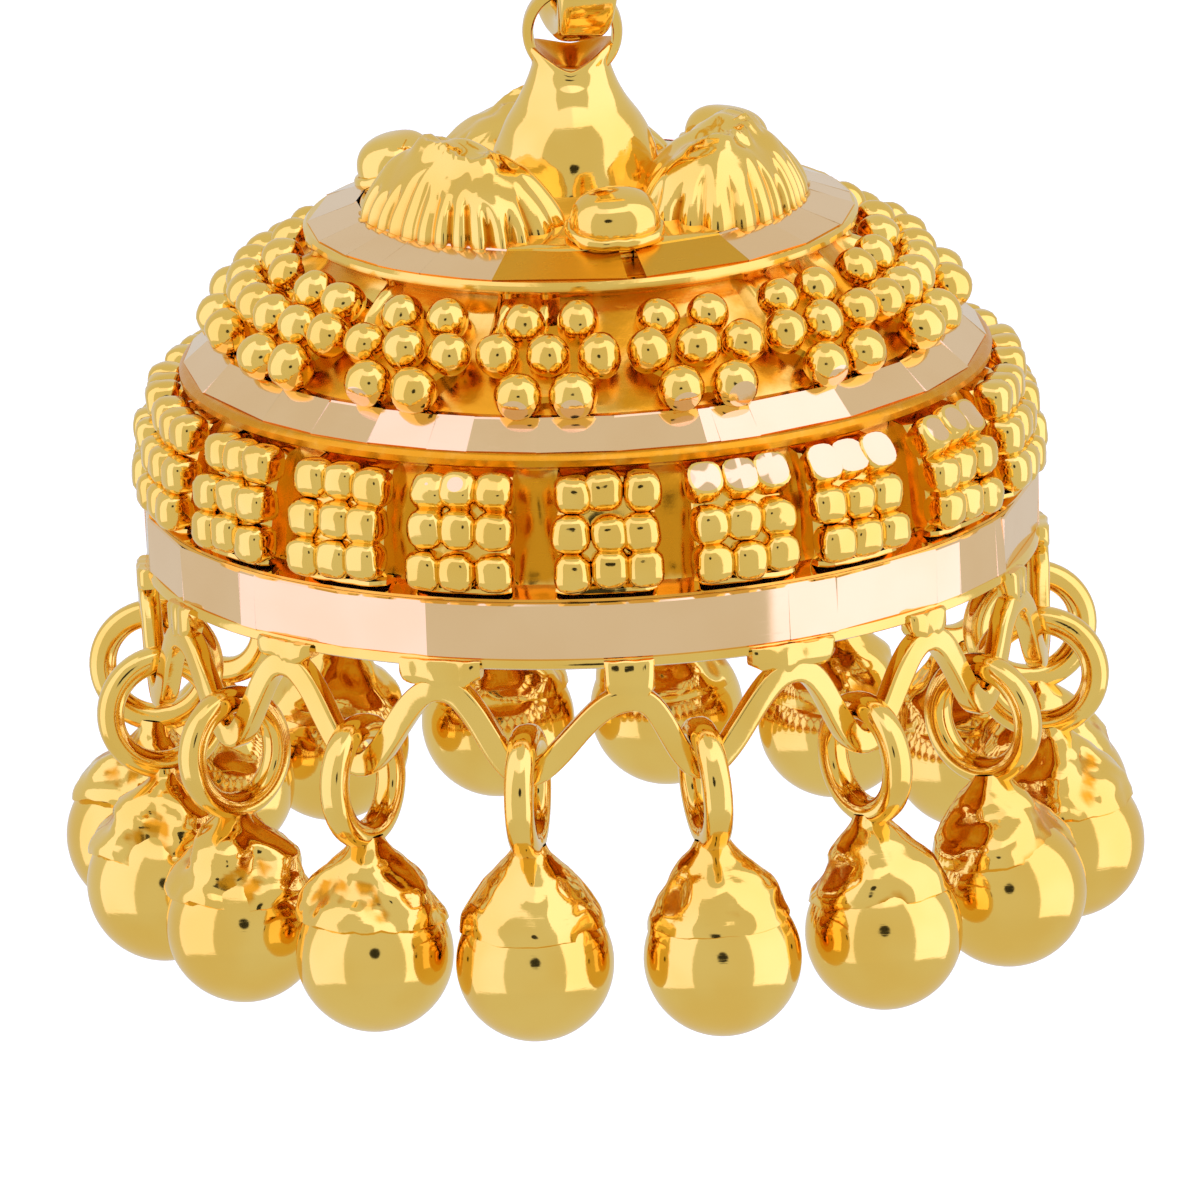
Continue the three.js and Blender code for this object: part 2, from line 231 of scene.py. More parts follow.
# Radius and distance behind the button's back face, from its front to the post's end
BUTTON = [(0, -1.2), (1.7, -1.19), (2.55, -1.1), (2.98, -0.92), (3.18, -0.68), (3.2, -0.45),
          (3.15, -0.2), (2.98, -0.03), (2.7, 0), (0.66, 0), (0.52, 0.06), (0.455, 0.2),
          (0.45, 0.5), (0.45, 8.1), (0.44, 8.3), (0.37, 8.42), (0.37, 8.62), (0.44, 8.74),
          (0.45, 8.9), (0.45, 10.4), (0.4, 10.75), (0.22, 10.96), (0, 11)]
STUD_EYE_MIDDLE, STUD_EYE_RADIUS = -4.15, 1.175
STUD_EYE_WIRE, STUD_EYE_DEPTH = 0.45, 0.7

button = turned(curve(BUTTON, 4), 64)[:, :, [0, 2, 1]] - [0, HANG_PLANE, 0]
ways = spokes(RIGHT, UP, 56)
stud_eye = tube(ways * STUD_EYE_RADIUS + [0, 0, STUD_EYE_MIDDLE], ways, BACK,
                pillow(STUD_EYE_WIRE, STUD_EYE_DEPTH, 16, 3))
piece("ear_stud_polished", [skin(button), skin(stud_eye, looped=True)], [GOLD], "stud",
      ["ear_stud"], 0)


# Hanging link: a thick closed ring with full flat sides that stands nearly edge on to
# the front and joins the stud's eye to the bell's eye. Cast yellow gold, roughly filed.
LINK_MIDDLE, LINK_RADIUS = -6.0, 1.625
LINK_THICKNESS, LINK_WIDTH = 0.82, 1.2
LINK_TURN = 13        # degrees from edge on
LINK_SQUARENESS = 2.4
LINK_CHEEK = 0.24     # share by which its front and back are wider than its ends
FILE_WAVES = 0.02


def squarer(ways, power):
    """How far out the edge of a rounded square lies along each way; 2 is a circle"""
    return np.sum(np.abs(ways) ** power, axis=-1, keepdims=True) ** (-1 / power)


def bumps(points, scale, seed=(0, 0, 0)):
    """Soft noise at each point, about -1 to 1"""
    seed = Vector(seed)
    values = [noise.noise(Vector(point) * scale + seed) for point in points.reshape(-1, 3)]
    return np.reshape(values, points.shape[:-1] + (1,))


def placed(points, turn, out=0.0, height=0.0, lean=0.0):
    """Tips points back by lean, then moves them out and round to a turn from the front"""
    c, s = math.cos(math.radians(lean)), math.sin(math.radians(lean))
    points = points @ np.array([[1, 0, 0], [0, c, s], [0, -s, c]])
    points = points + [0, -out, height]
    c, s = math.cos(math.radians(turn)), math.sin(math.radians(turn))
    return points @ np.array([[c, s, 0], [-s, c, 0], [0, 0, 1]])


ways = spokes(BACK, UP, 72)
link = tube(ways * squarer(ways, LINK_SQUARENESS) * LINK_RADIUS + [0, 0, LINK_MIDDLE], ways,
            RIGHT, pillow(LINK_THICKNESS, LINK_WIDTH, 28, 3.8))
link[:, :, 0] *= 1 + LINK_CHEEK * ways[:, None, 1] ** 2
link = link + FILE_WAVES * bumps(link, 1.3) * ways[:, None, :]
link = placed(link, LINK_TURN)
piece("hanging_link_filed", [skin(link, looped=True)], [GOLD], "link", ["hanging_link"], 0)


# Neck of the bell: a vase-shaped post that opens in a V below a thin flat eye. Cast
# yellow gold, soldered on the crown. Heights from here on start at the wide band's foot.
BELL_LIFT = -20.75
NECK = [(2.2, 8.95), (2.12, 9.25), (2.05, 9.6), (1.93, 10.09), (1.68, 10.69), (1.3, 11.25),
        (1.07, 11.73), (0.95, 12.1), (0.92, 12.4), (0.86, 12.52), (0.74, 12.45),
        (0.45, 12.1), (0.15, 11.75), (0, 11.68)]
NECK_RIM = 9                       # the row above at which the outside turns into the cup
NECK_STEPS, NECK_SIDES = 5, 72
# Where the V starts, over what height it opens, and how far its middle sinks
V_FOOT, V_HEIGHT, V_SINK = 11.6, 0.85, 0.45
SIDE_LIFT, BACK_LIFT = 0.62, 0.3   # how far the rim rises beside and behind the V
RIM_FLARE, FLARE_FOOT, FLARE_HEIGHT = 0.26, 12.1, 0.6
DENTS = 0.035
NECK_SHIFT = -0.1
NECK_EYE_MIDDLE, NECK_EYE_RADIUS = 12.9, 1.09
NECK_EYE_WIRE, NECK_EYE_DEPTH = 0.28, 0.8

neck = turned(curve(NECK, NECK_STEPS), NECK_SIDES)
across, deep, high = np.moveaxis(neck, 2, 0)
aside = (np.abs(across) / np.maximum(np.hypot(across, deep), 1e-6)) ** 1.5
upper = np.clip((high - V_FOOT) / V_HEIGHT, 0, 1)
behind = np.clip(deep / 0.5, 0, 1)
high += upper * (SIDE_LIFT * aside - V_SINK + BACK_LIFT * behind * (1 - aside))
neck[:, :, :2] *= 1 + DENTS * bumps(neck, 1.1)
across *= 1 + RIM_FLARE * np.clip((high - FLARE_FOOT) / FLARE_HEIGHT, 0, 1)
across += NECK_SHIFT
# the cup below the eye takes painted shade and painted reflection of the link above it
in_cup = np.repeat(np.arange(len(neck)) > NECK_RIM * NECK_STEPS, NECK_SIDES)
ways = spokes(RIGHT, UP, 64)
neck_eye = tube(ways * NECK_EYE_RADIUS + [NECK_SHIFT / 3, 0, NECK_EYE_MIDDLE], ways, BACK,
                pillow(NECK_EYE_WIRE, NECK_EYE_DEPTH, 16, 3))
piece("bell_neck", [skin(neck) + (in_cup * 0.8,), skin(neck_eye, looped=True)], [GOLD], "drop",
      ["bell"], BELL_LIFT)


# Crown petals: three stamped leaves round the neck, each smooth on top with a fluted
# skirt that hangs over the top band. Yellow gold sheet, soldered at its foot.
PETAL_TURNS = (70, 190, -50)
PETAL_PEAKS = (2.0, 1.6, 2.0)
PETAL_INNER, PETAL_OUTER, PETAL_SIDE = 1.9, 5.95, 2.95
PETAL_MIDDLE = (PETAL_INNER + PETAL_OUTER) / 2
PETAL_INWARD = 0.3       # a leaf stands this much nearer to the neck than its plan
PETAL_FOOT = 8.78
PETAL_SIDES = 300
FLUTES = 13
FLUTE_START = 0.68       # share of the way out at which the fluted skirt begins
FLUTE_PLAN, FLUTE_DEPTH = 0.085, 0.1
FOLD_AT, FOLD_RISE = 0.36, 0.2
# How far out each ring of a leaf's points lies, and how far it drops below the surface
PETAL_RINGS = [(share, 0) for share in (*np.linspace(0, 0.5, 12), *np.linspace(0.53, 1, 26))]
PETAL_RINGS += [(1.0, 0.16), (0.9, 0.5)]


def clamp(value):
    """The value, or 0 or 1 where it lies past them"""
    return min(1, max(0, value))


def petal_reach(out, side):
    """From a petal's middle to its edge: a fan with a round outer rim, level sides and
    two tips where the sides meet the slanting inner edges"""
    rim = -PETAL_MIDDLE * out + math.sqrt(
        (PETAL_MIDDLE * out) ** 2 - PETAL_MIDDLE ** 2 + PETAL_OUTER ** 2)
    edges = [rim, PETAL_SIDE / max(abs(side), 0.01)]
    slant = 0.32 * abs(side) - out
    if slant > 0.01:
        edges.append((PETAL_MIDDLE - PETAL_INNER) / slant)
    return (sum(edge ** -9 for edge in edges)) ** (-1 / 9)


def petal(turn, peak, seed):
    """One leaf: rings of points from its peak out to its rim and in again below it"""
    rows, shade_and_wear_marks = [], []
    for share, drop in PETAL_RINGS:
        row = []
        for k in range(PETAL_SIDES):
            way = k * 2 * math.pi / PETAL_SIDES
            out, side = math.cos(way), math.sin(way)
            uneven = noise.noise(Vector((out * 2.6, side * 2.6, seed)))
            # the skirt starts at an uneven line and fades out at the leaf's inner edge
            skirt = clamp((share - (FLUTE_START + 0.26 * uneven)) / 0.12)
            front = clamp((out + 0.55) / 0.5)
            # flutes of uneven width, round on top with narrow grooves between them
            wave = math.cos(FLUTES * way + 0.9 * math.sin(3 * way + seed) + seed)
            groove = (1 - abs(wave)) ** 1.1 * skirt * front * (0.85 + 0.9 * uneven)
            reach = share * petal_reach(out, side) * (1 - FLUTE_PLAN * groove * share)
            # the leaf's swell, with a fold above the skirt, a dimple at the peak and a
            # hollow towards the neck
            crest = math.cos(min(share / 0.98, 1) * math.pi / 2) ** 0.62
            fold = math.exp(-((share - FOLD_AT - 0.12 * uneven) / 0.08) ** 2) * front
            rise = peak * crest + FOLD_RISE * fold - 0.1 * math.exp(-(share / 0.2) ** 2)
            rise -= 0.7 * share ** 2 * max(0, -out) * peak * (1 - share)
            rise -= FLUTE_DEPTH * groove
            # dents left by the stamp, none at the rim
            spot = Vector((side * reach, out * reach, seed))
            rise += 0.36 * noise.noise(spot * 0.75) * (1 - share ** 3)
            rise += 0.08 * noise.noise(spot * 1.9) * (1 - share ** 3) * min(1, share * 4)
            height = PETAL_FOOT + 0.34 * max(0, -out) * share + rise - drop
            row.append((side * reach, PETAL_INWARD - PETAL_MIDDLE - out * reach, height))
            # painted shade and wear in the grooves between the flutes and under the rim
            shade_and_wear_marks.append(0.7 * groove + 0.4 * (share > 0.97))
        rows.append(row)
    points, faces = skin(rows)
    return placed(points, turn), faces, shade_and_wear_marks


piece("bell_petals", [petal(turn, peak, i * 4.7)
                      for i, (turn, peak) in enumerate(zip(PETAL_TURNS, PETAL_PEAKS))],
      [GOLD], "drop", ["bell"], BELL_LIFT, sharp=60)


# Oval beads: three low drops of gold between the petals, each in a thin collar of
# wire. Cast yellow gold, soldered on the crown.
OVAL_TURNS = (10, 130, 250)
OVAL_OUT, OVAL_HEIGHT, OVAL_LEAN = 4.75, 9.2, 12
OVAL_HALF = (1.09, 0.9, 0.8)
OVAL_SQUARENESS = 2.35
COLLAR_HALF, COLLAR_DROP = (1.12, 0.94, 1), 0.12
COLLAR_WIRE, COLLAR_HEIGHT = 0.2, 0.3

arc = np.linspace(-np.pi / 2, np.pi / 2, 25)
oval = turned(list(zip(np.cos(arc) ** 0.72, fuller(np.sin(arc), 0.85))), 48)
oval = oval * OVAL_HALF + [0, 0, 0.05]
oval[:, :, :2] *= squarer(spokes(RIGHT, -BACK, 48), OVAL_SQUARENESS)
ways = spokes(RIGHT, -BACK, 60)
collar = tube(ways * (squarer(ways, OVAL_SQUARENESS) * COLLAR_HALF) - [0, 0, COLLAR_DROP], ways,
              UP, pillow(COLLAR_WIRE, COLLAR_HEIGHT, 12, 2))
shells = []
for turn in OVAL_TURNS:
    points, faces = skin(oval)
    shells.append((placed(points, turn, OVAL_OUT, OVAL_HEIGHT, OVAL_LEAN), faces))
    points, faces = skin(collar, looped=True)
    points = points + 0.03 * bumps(points, 4, (turn, 0, 0))
    shells.append((placed(points, turn, OVAL_OUT, OVAL_HEIGHT, OVAL_LEAN), faces))
piece("bell_oval_beads", shells, [GOLD], "drop", ["bell"], BELL_LIFT)


# Bell wall: a thin dome of gold sheet, raised in steps, with a flange below, a ledge
# under each rose band and smooth hollows behind the granules. Bright outside, left as cast
# inside; painted shade with dull metal inside, behind the granules and under the bands.
OUTSIDE = [(9.98, -0.25), (10.9, -0.25), (10.98, -0.2), (10.98, -0.11), (10.9, 0.01),
           (10.5, 0.01), (10.48, 0.04), (10.48, 1.39), (10.78, 1.405), (10.8, 1.48),
           (10.5, 1.58), (10.16, 1.68), (10.04, 2.0), (10.0, 2.6), (9.93, 3.2), (9.8, 3.8),
           (9.62, 4.15), (9.5, 4.36), (9.6, 4.46), (9.84, 4.5), (9.95, 4.56), (9.97, 4.72),
           (9.9, 4.83), (9.84, 4.87), (9.447, 4.87), (9.02, 5.255), (8.84, 5.5), (8.7, 5.64),
           (8.45, 5.86), (7.9, 6.38), (7.36, 6.92), (6.84, 7.42), (6.5, 7.72), (6.42, 7.86),
           (6.55, 7.98), (6.72, 8.02), (6.8, 8.09), (6.8, 8.22), (6.72, 8.3), (6.036, 8.3),
           (5.383, 8.51), (5.383, 8.76), (5.33, 8.8), (4.6, 8.93), (3.4, 9.1), (2.05, 9.25),
           (0.4, 9.25)]
INSIDE = [(0.01, 8.75), (2.0, 8.72), (4.6, 8.2), (5.7, 7.38), (7.4, 6.3), (8.4, 4.9),
          (9.4, 3.2), (9.9, 1.4), (9.98, 0.3)]
WALL_SIDES, WALL_STEP = 420, 0.22
BLOCK_LEVEL, ROSETTE_LEVEL = 3.0, 6.7     # middles of the two rows of granules
HALF_ROW = 1.5                            # how far the wall is worked above and below them
RIB_DEPTH, HOLLOW_DEPTH, STRUT_RISE = 0.17, 0.13, 1.6

wall_rows = [OUTSIDE[0]]
for (r0, z0), (r1, z1) in zip(OUTSIDE, OUTSIDE[1:]):
    cuts = max(1, round(math.hypot(r1 - r0, z1 - z0) / WALL_STEP))
    wall_rows += [(r0 + (r1 - r0) * k / cuts, z0 + (z1 - z0) * k / cuts)
                  for k in range(1, cuts + 1)]
outer_count = len(wall_rows)
wall_rows += [tuple(row) for row in curve(INSIDE, 4)]
wall = turned(wall_rows, WALL_SIDES)
shade_and_wear = np.zeros(wall.shape[:2])
for i, (radius, height) in enumerate(wall_rows[:outer_count]):
    behind_blocks = behind_rosettes = under_band = 0
    if radius > 9.4:
        behind_blocks = clamp((HALF_ROW - abs(height - BLOCK_LEVEL)) / 0.4)
    if radius < 9:
        behind_rosettes = clamp((HALF_ROW - abs(height - ROSETTE_LEVEL)) / 0.5)
    if radius > 9.4 and 4.4 < height < 4.9:
        under_band = 0.8
    elif 7.8 < height < 8.15:
        under_band = 0.45
    for j in range(WALL_SIDES):
        # ribs between the blocks, soft hollows and a few struts behind the rosettes
        turn = j * 2 * math.pi / WALL_SIDES
        rib = noise.noise(Vector((math.sin(turn) * 17, math.cos(turn) * 17, height * 0.5)))
        soft = noise.noise(Vector(wall[i, j]) * 0.55)
        strut = max(0, noise.noise(Vector((turn * 9, 0, 3.3))) - 0.12) * behind_rosettes
        strut *= clamp((height - ROSETTE_LEVEL) / 0.5)
        push = RIB_DEPTH * rib * behind_blocks
        push += (HOLLOW_DEPTH * soft + STRUT_RISE * strut) * behind_rosettes
        wall[i, j, :2] *= 1 + push / radius
        # painted shade and wear on the wall behind the granules and under the bands, less on the
        # struts
        shade_and_wear[i, j] = behind_blocks + (0.8 + 1.2 * soft) * behind_rosettes - strut + under_band
wall[outer_count:] *= 1 + 0.006 * bumps(wall[outer_count:], 0.9)
# the inside, left as cast, also takes painted shade
shade_and_wear[outer_count:] = 0.6
piece("bell_wall", [skin(wall, looped=True) + (shade_and_wear.ravel(),)], [GOLD], "drop", ["bell"],
      BELL_LIFT, sharp=35)


# Rose-gold bands: three closed hoops pressed on the bell and cut with flat bright
# facets of uneven length, one stretch of the wide one left smooth. Polished rose gold.
ROSE_LIGHT, ROSE_DEEP = (0.97, 0.68, 0.37, 1), (0.95, 0.65, 0.34, 1)
# deep colour for the hollows of the rose bands: partly worn metal, partly painted shade and painted
# reflection
ROSE_WORN_AND_SHADE = (0.80, 0.42, 0.03, 1)
ROSE = metal("rose_gold_cut", ROSE_LIGHT, ROSE_DEEP, ROSE_WORN_AND_SHADE, 0.045, 3e-6)
SMOOTH_STRETCH = 30             # degrees; a facet as long as this is left round
BACK_FACETS = (5, 9, 14, 19)    # degrees; lengths of those at the unseen back
FACET_TILT = 0.035
FACET_EDGE = 0.04
NICK_DEPTH = 0.3
# Each band's section, facets' edges, seed, and the facets that are amber and broken out
BANDS = [
    ("wide", [(10.98, 0), (10.98, 1.4), (10.6, 1.4), (10.6, 0)],
     [-81.7, -66, -51.6, -48.7, -34.3, -21.9, 25.3, 32.3, 49.3, 54.2, 63.5, 66, 88.4],
     3, (), ()),
    ("middle", [(9.84, 4.86), (9.14, 5.56), (8.79, 5.56), (9.5, 4.85)],
     [-89.7, -72, -53.7, -43.1, -33, -23.5, -17.5, -7.5, 4, 16.9, 18.9, 21.8, 25, 40.5,
      56.9, 71, 88.6],
     5, (), ()),
    ("top", [(6.69, 8.29), (5.51, 8.79), (5.5, 8.52), (6.06, 8.28)],
     [-90, -72.9, -59.3, -48.1, -42.6, -36.4, -26.3, -19.3, 9.4, 13.4, 37.5, 55, 71, 88.9],
     8, (-19.3, 13.4), (9.4,)),
]


def hoop(section, cuts, seed, amber, nicks):
    """Rows round a faceted hoop. Section is (radius, height) from the outer foot to the
    outer top and back inside; cuts are the facets' edges in degrees from the front.
    The facets that start at amber take the deep amber colour; those at nicks are broken out and take
    it as painted shade and wear."""
    dice = random.Random(seed)
    end = cuts[0] + 360
    turn = cuts[-1]
    while turn < end - 11:
        turn += dice.choice(BACK_FACETS)
        if turn < end - 5:
            cuts = cuts + [turn]
    (r0, z0), (r1, z1), (r2, z2), (r3, z3) = section
    rows, shade_and_wear_marks = [], []
    for start, stop in zip(cuts, cuts[1:] + [end]):
        flat = stop - start < SMOOTH_STRETCH
        middle, half = math.radians((start + stop) / 2), math.radians((stop - start) / 2)
        tilt = dice.uniform(-FACET_TILT, FACET_TILT) if flat else 0
        sunk = NICK_DEPTH if start in nicks else 0
        count = max(2, math.ceil((stop - start) / (2.4 if flat else 0.8)))
        for k in range(count):
            turn = math.radians(start + 0.03 + (stop - start - 0.06) * k / (count - 1))
            share = math.cos(half) / math.cos(turn - middle) if flat else 1
            way = np.array([math.sin(turn), -math.cos(turn), 0])
            line = [(r0 * share - tilt - FACET_EDGE - sunk, z0),
                    (r0 * share - tilt - sunk, z0 + FACET_EDGE),
                    (r1 * share + tilt, z1 - FACET_EDGE - sunk),
                    (r1 * share + tilt - FACET_EDGE, z1 - sunk),
                    (r2, z2 - sunk), (r3, z3)]
            rows.append([way * r + [0, 0, z] for r, z in line])
            # amber facets and broken-out nicks take the deep colour; in the nicks it is painted shade
            # as well as wear
            shade_and_wear_marks += [0.95 if start in amber or sunk else 0] * len(line)
    return skin(rows, looped=True) + (shade_and_wear_marks,)


for band, *shape in BANDS:
    piece("band_" + band + "_faceted", [hoop(*shape)], [ROSE], "drop", ["band_" + band],
          BELL_LIFT, sharp=1.1)


# Rosettes: fourteen flowers of seven shot granules, six round one, sweated to a thin
# pad on the upper wall. Yellow gold; the flats that the graver left on some granules
# take the paler rose gold of the bands' facets as a painted highlight.
ROSETTE_COUNT, ROSETTE_TURN = 14, -6.4
# Distance out, height, places to the side and granule's radius of each row, lowest first
ROSETTE_ROWS = [(8.9, 6.05, (-0.68, 0.68), 0.59), (8.21, 6.84, (-1.24, 0, 1.24), 0.55),
                (7.29, 7.40, (-0.63, 0.63), 0.54)]
ROSETTE_PAD = [(0, -0.9), (1.3, -0.9), (1.42, -0.1), (1.3, 0.02), (1.0, 0.06), (0, 0.06)]
PAD_OUT, PAD_HEIGHT = 7.98, 6.66
PAD_TIP = 40           # degrees from level
PAD_LOBES, PAD_WAIST = 6, 0.8
SLIP = 0.04            # how far a granule may sit off its place
FRONT_ROSETTES = (0, 1)
CUT_SHARE = 0.35       # of the lowest granules on the other rosettes
UNCUT = 2              # a depth past the top of the granule
GRANULE_SIDES = 20


def granule(dice, radius, out, height, turn, cut=None, squareness=2.0):
    """A shot granule, a little out of round. A cut (lean, depth) slices a bright flat,
    in the paler rose gold as a painted highlight, that faces up by lean degrees, at depth
    times the radius from the middle."""
    # the lean drawn for an uncut granule isn't used; it keeps later draws in their places
    lean, depth = cut or (dice.uniform(0, 90), UNCUT)
    arc = np.linspace(math.acos(min(depth, 1)), math.pi, 13)
    rows = [(radius * math.sin(a), radius * math.cos(a)) for a in arc]
    if cut:
        rows.insert(0, (0, radius * depth))
    ball = turned(rows, GRANULE_SIDES)
    if squareness != 2.0:
        full = ball / radius
        ball = ball * squarer(full, squareness) * np.linalg.norm(full, axis=2, keepdims=True)
        ball[:, :, 2] = np.minimum(ball[:, :, 2], radius * depth)
    ball = ball * [dice.uniform(0.96, 1.05), dice.uniform(0.96, 1.05), dice.uniform(0.97, 1.03)]
    points, faces = skin(ball)
    if not cut:
        points = points * (1 + 0.07 * bumps(points, 2.4, (out * 3 + turn, height, turn)))
    # the flat's faces take finish 1, the paler rose gold, as a painted highlight
    finish = [1 if cut and i < GRANULE_SIDES else 0 for i in range(len(faces))]
    # the cut starts out facing up and is tipped towards the front
    tip = 90 - lean if cut else dice.choice((0, 90))
    return placed(points, turn, out, height, tip), faces, None, finish


def rosette_pad(turn):
    """The low lobed pad under one rosette"""
    points, faces = skin(turned(ROSETTE_PAD, 72))
    lobe = (1 + np.cos(PAD_LOBES * np.arctan2(points[:, 1], points[:, 0]))) / 2
    points[:, :2] *= (PAD_WAIST + (1 - PAD_WAIST) * lobe)[:, None]
    # the pad under the granules takes painted shade and wear
    return placed(points, turn, PAD_OUT, PAD_HEIGHT, PAD_TIP), faces, [0.85] * len(points)


dice = random.Random(11)
shells = []
for i in range(ROSETTE_COUNT):
    turn = ROSETTE_TURN + i * 360 / ROSETTE_COUNT
    shells.append(rosette_pad(turn))
    for row, (out, height, asides, size) in enumerate(ROSETTE_ROWS):
        for aside in asides:
            cut = None
            if row == 0 and (i in FRONT_ROSETTES or dice.random() < CUT_SHARE):
                cut = (dice.uniform(-34, -18), dice.uniform(0.78, 0.9))
            shells.append(granule(dice, size, out + dice.uniform(-SLIP, SLIP),
                                  height + dice.uniform(-SLIP, SLIP),
                                  turn + math.degrees((aside + dice.uniform(-SLIP, SLIP)) / out),
                                  cut))
piece("bell_rosettes", shells, [GOLD, ROSE], "drop", ["bell"], BELL_LIFT)


# Granule blocks: nineteen squares of nine granules, three by three, pressed in one
# with a curved back on the lower wall. Yellow gold; flats cut where the graver ran
# along the middle band, painted as highlights in the paler rose gold.
BLOCK_COUNT, BLOCK_TURN = 19, 1.5
# Degrees by which some blocks stand off their even places
BLOCK_SHIFTS = {0: 0.5, 1: -0.3, 2: -2.3, 3: -1.2, 17: 1.2, 16: 1.2}
BLOCK_HALF = 6.6            # degrees to each side
BLOCK_BACK = [(9.9, 1.56), (10.62, 1.6), (10.86, 1.9), (10.9, 2.2), (10.82, 2.7), (10.74, 3.1),
              (10.6, 3.55), (10.42, 4.0), (10.2, 4.3), (9.6, 4.42)]
BACK_SINK = 0.1             # the plate lies in from that line
BACK_INNER, LIP_INNER = 9.5, 10.3
BLOCK_LIP = [(10.4, 1.6), (10.86, 1.61), (10.9, 1.65), (10.88, 1.74), (10.4, 1.78)]
BLOCK_ROWS = [(10.35, 4.0), (10.65, 3.1), (10.8, 2.2)]
BLOCK_COLUMNS = (-4.6, 0, 4.6)      # degrees
BLOCK_GRANULE, BLOCK_SQUARENESS = 0.48, 3.1
# Blocks whose top granules are cut, and how far from a granule's middle the cut runs,
# as a share of its radius
TOP_CUTS = {1: 0.66, 2: 0.5, 3: 0.72, 18: 0.95, 7: 0.7, 8: 0.6, 12: 0.8}


def plate(rows, turn, inner, seed):
    """A curved plate: rows of (radius, height) swept round from side to side"""
    swept = []
    for r, z in rows:
        row = []
        for side in np.linspace(-1, 1, 13):
            angle = math.radians(turn + side * BLOCK_HALF)
            rough = 0.05 * noise.noise(Vector((side * 3, z * 2, seed)))
            face = r + rough - 0.22 * abs(side) ** 8
            row.append((face * math.sin(angle), -face * math.cos(angle), z + rough))
        for side in (1, -1):
            angle = math.radians(turn + side * BLOCK_HALF)
            row.append((inner * math.sin(angle), -inner * math.cos(angle), z))
        swept.append(row)
    return skin(swept, capped=True)


shells = []
for i in range(BLOCK_COUNT):
    turn = BLOCK_TURN + i * 360 / BLOCK_COUNT + BLOCK_SHIFTS.get(i, 0)
    points, faces = plate([(r - BACK_SINK, z) for r, z in BLOCK_BACK], turn, BACK_INNER, i)
    # the back plate between the granules takes painted shade and wear
    shells.append((points, faces, [0.3] * len(points)))
    shells.append(plate(BLOCK_LIP, turn + dice.uniform(-0.6, 0.6), LIP_INNER, i + 40))
    for row, (out, height) in enumerate(BLOCK_ROWS):
        for aside in BLOCK_COLUMNS:
            cut = None
            if row == 0 and i in TOP_CUTS:
                cut = (dice.uniform(37, 43), TOP_CUTS[i] + dice.uniform(-0.05, 0.08))
            shells.append(granule(dice, BLOCK_GRANULE, out + dice.uniform(-0.05, 0.03),
                                  height + dice.uniform(-0.06, 0.06),
                                  turn + aside + dice.uniform(-0.35, 0.35),
                                  cut, BLOCK_SQUARENESS))
piece("bell_granule_blocks", shells, [GOLD, ROSE], "drop", ["bell"], BELL_LIFT)


# Wave strip: flat wire bent in sixteen waves and soldered by its crests to the
# flange, with a tab of solder at each crest. Yellow gold, filed flat on its face.
WAVE_COUNT, WAVE_TURN = 16, 1.85
WAVE_PITCH = 360 / WAVE_COUNT
WAVE_RADIUS, WAVE_MIDDLE, WAVE_RISE = 10.95, -1.855, 1.005
WAVE_STEPS = 36
STRIP_THICKNESS, STRIP_WIDTH = 0.5, 0.6
# How far each crest is lifted and turned (degrees) from its even place, and the width
# of its tab of solder, counted from the front round towards +X
CREST_LIFTS = (-0.16, 0.12, 0.1, 0, 0.1, 0.05, 0, 0.1, 0.05, -0.05, 0.1, 0.05, 0.1, 0, 0.22, 0.08)
CREST_TURNS = (2.2, 1.2, 0, -0.8, 0.6, 0, -1, 0.5, 0.9, 0, -0.7, 0, 1, -0.4, 0, 0.5)
TAB_WIDTHS = (1.2, 2.2, 1.2, 0.9, 1.5, 1.1, 1.8, 1.4, 1.3, 0.9, 1.6, 1.1, 1.4, 1.2, 1.7, 2.05)
TAB_HEIGHT, TAB_FACE, TAB_BACK = 0.8, 0.26, 10.72


def out_of_true(angle, steps):
    """How far the crest nearest to an angle is out of true; nothing at the troughs"""
    phase = angle * WAVE_COUNT / 2
    crest = round(phase / math.pi)
    return steps[crest % WAVE_COUNT] * math.cos(phase - crest * math.pi) ** 2


def wave_height(angle):
    """Height of the strip's middle line: broad crests and narrow troughs"""
    fall = abs(math.sin(angle * WAVE_COUNT / 2)) ** 2.4
    return WAVE_MIDDLE + WAVE_RISE * (1 - 2 * fall) + out_of_true(angle, CREST_LIFTS)


def crest_tab(i):
    """The tab of solder over one crest: a rough low plate with rounded edges"""
    tab = []
    for s in np.linspace(-1, 1, 22):
        angle = math.radians(WAVE_TURN + i * WAVE_PITCH + CREST_TURNS[i])
        angle += s * TAB_WIDTHS[i] / 2 / WAVE_RADIUS
        rough = noise.noise(Vector((i * 9.1, s * 2.3, 0)))
        low = CREST_LIFTS[i] - TAB_HEIGHT - 0.16 * rough + 0.2 * abs(s) ** 3
        face = WAVE_RADIUS + TAB_FACE + 0.03 * noise.noise(Vector((i * 5.3, s * 3.1, 7)))
        face -= 0.1 * abs(s) ** 8
        line = [(face - 0.06, -0.03), (face, -0.1), (face, low + 0.09), (face - 0.06, low),
                (TAB_BACK + 0.06, low), (TAB_BACK, low + 0.06), (TAB_BACK, -0.05)]
        way = np.array([math.sin(angle), -math.cos(angle), 0])
        tab.append([way * r + [0, 0, z] for r, z in line])
    points, faces = skin(tab, capped=True)
    # a little painted shade and wear on the solder tabs
    return points + 0.02 * bumps(points, 3.5), faces, [0.15] * len(points)


